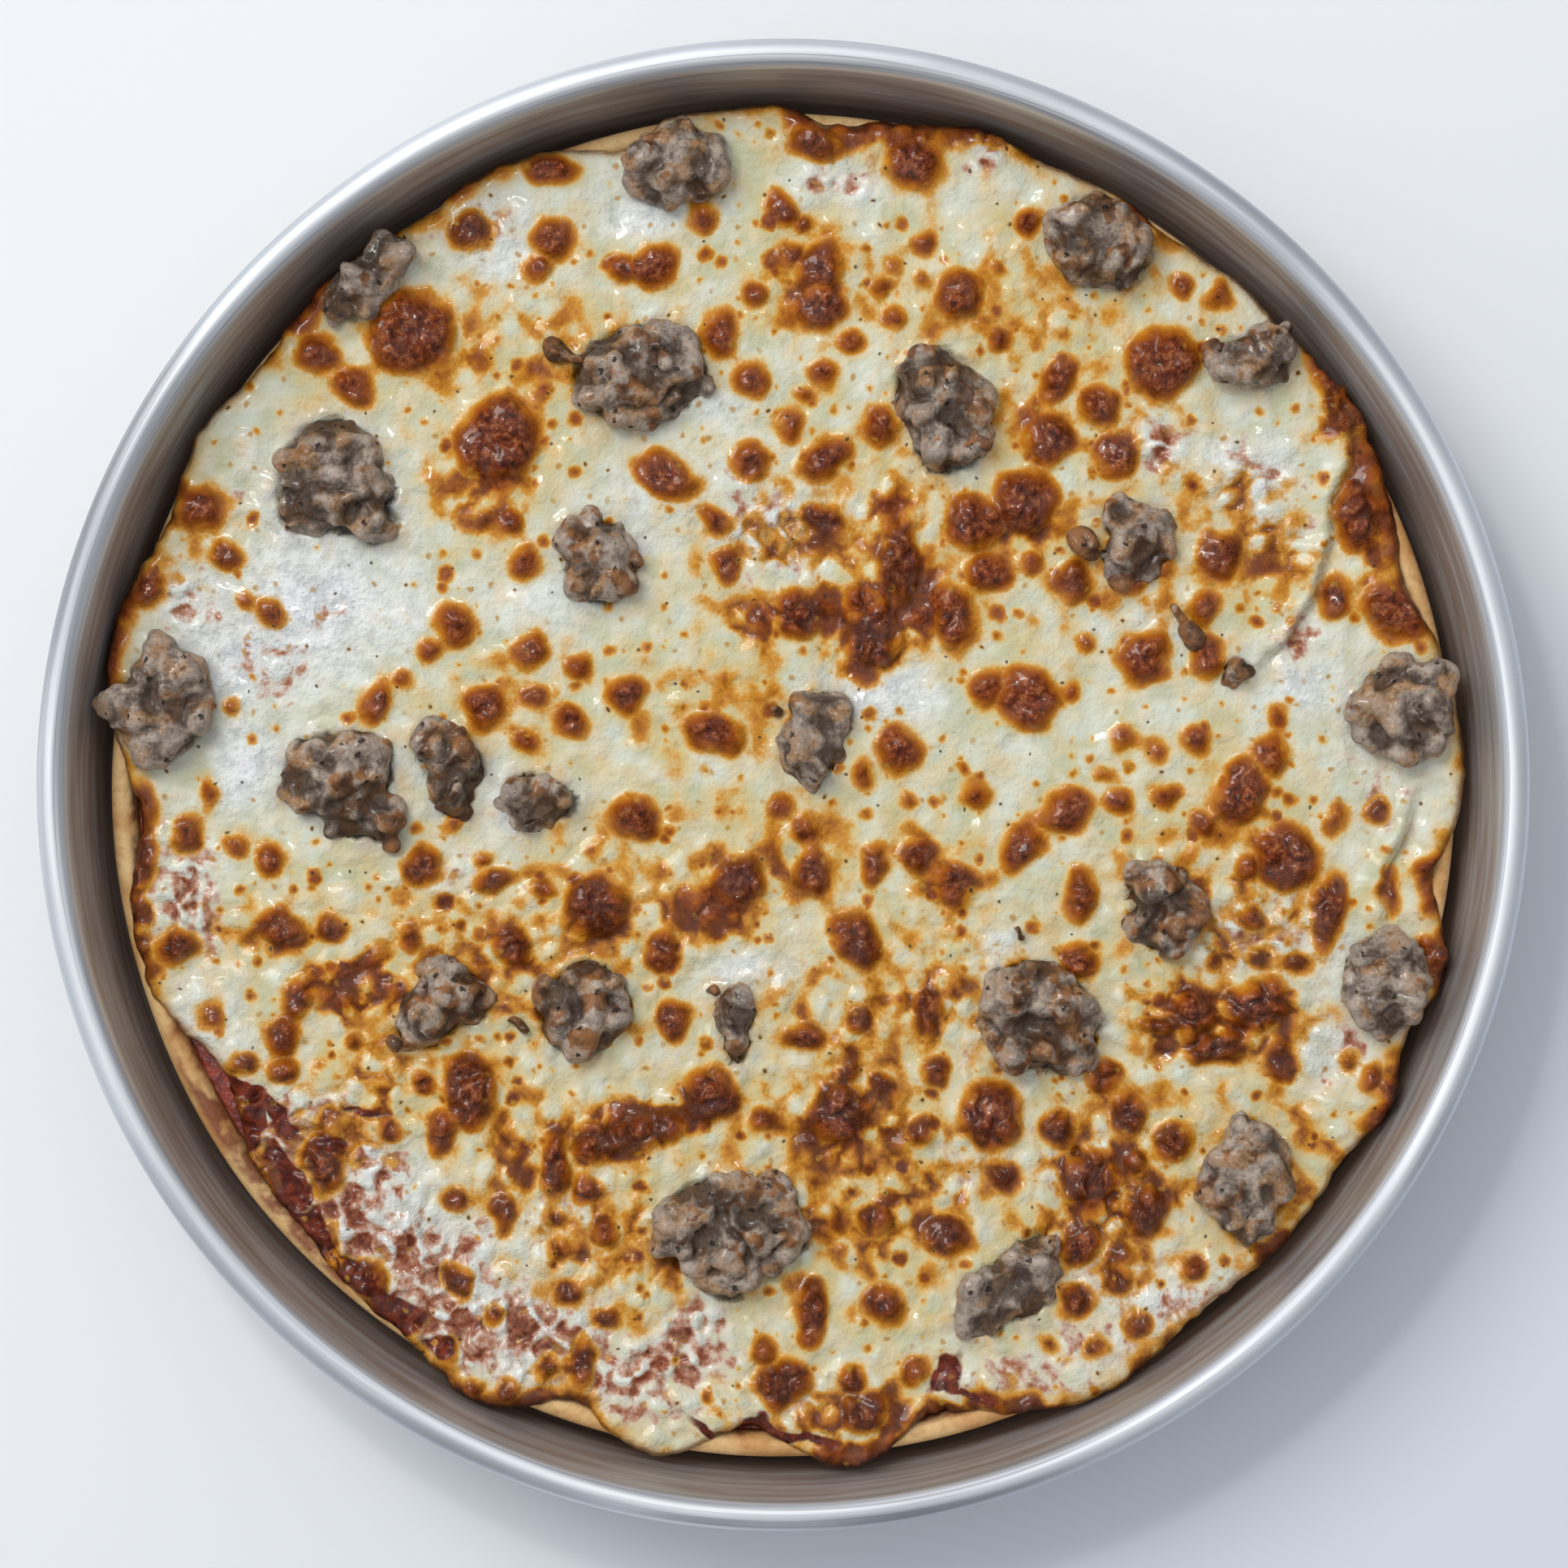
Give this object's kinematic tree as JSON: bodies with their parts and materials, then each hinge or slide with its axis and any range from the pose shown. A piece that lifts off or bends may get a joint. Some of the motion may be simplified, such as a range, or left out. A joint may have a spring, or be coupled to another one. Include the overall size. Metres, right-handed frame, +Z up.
{
  "type": "deep dish pizza",
  "caption": "Deep dish pizza baked in its round metal pan: thick dough with a low lip, tomato sauce, browned melted cheese and lumps of sausage.",
  "frame": {"origin": "centre of the pan's underside, on the plane that it stands on", "axes": "+Z up out of the pan, +Y towards the picture's top edge, +X towards its right edge"},
  "size_m": [0.3178, 0.3178, 0.0383],
  "materials": {
    "spun_metal": "spun sheet with fine rings brushed round it, dull inside, brighter on the rolled rim",
    "baked_dough": "baked crust, tan, matt, darker in small spots",
    "tomato_sauce": "thick cooked tomato sauce, dark red, moist",
    "melted_cheese": "melted cheese, ivory and oily, with browned blisters and amber halos",
    "cooked_sausage": "crumbly cooked meat, grey brown, with small fat glints and pepper"
  },
  "bodies": {
    "root": {"pan": "spun_metal", "crust": "baked_dough", "sauce": "tomato_sauce", "cheese": "melted_cheese", "sausage_01": "cooked_sausage", "sausage_02": "cooked_sausage", "sausage_03": "cooked_sausage", "sausage_04": "cooked_sausage", "sausage_05": "cooked_sausage", "sausage_06": "cooked_sausage", "sausage_07": "cooked_sausage", "sausage_08": "cooked_sausage", "sausage_09": "cooked_sausage", "sausage_10": "cooked_sausage", "sausage_11": "cooked_sausage", "sausage_12": "cooked_sausage", "sausage_13": "cooked_sausage", "sausage_14": "cooked_sausage", "sausage_15": "cooked_sausage", "sausage_16": "cooked_sausage", "sausage_17": "cooked_sausage", "sausage_18": "cooked_sausage", "sausage_19": "cooked_sausage", "sausage_20": "cooked_sausage", "sausage_21": "cooked_sausage", "sausage_22": "cooked_sausage", "sausage_23": "cooked_sausage", "sausage_24": "cooked_sausage", "sausage_25": "cooked_sausage"}
  },
  "joints": []
}
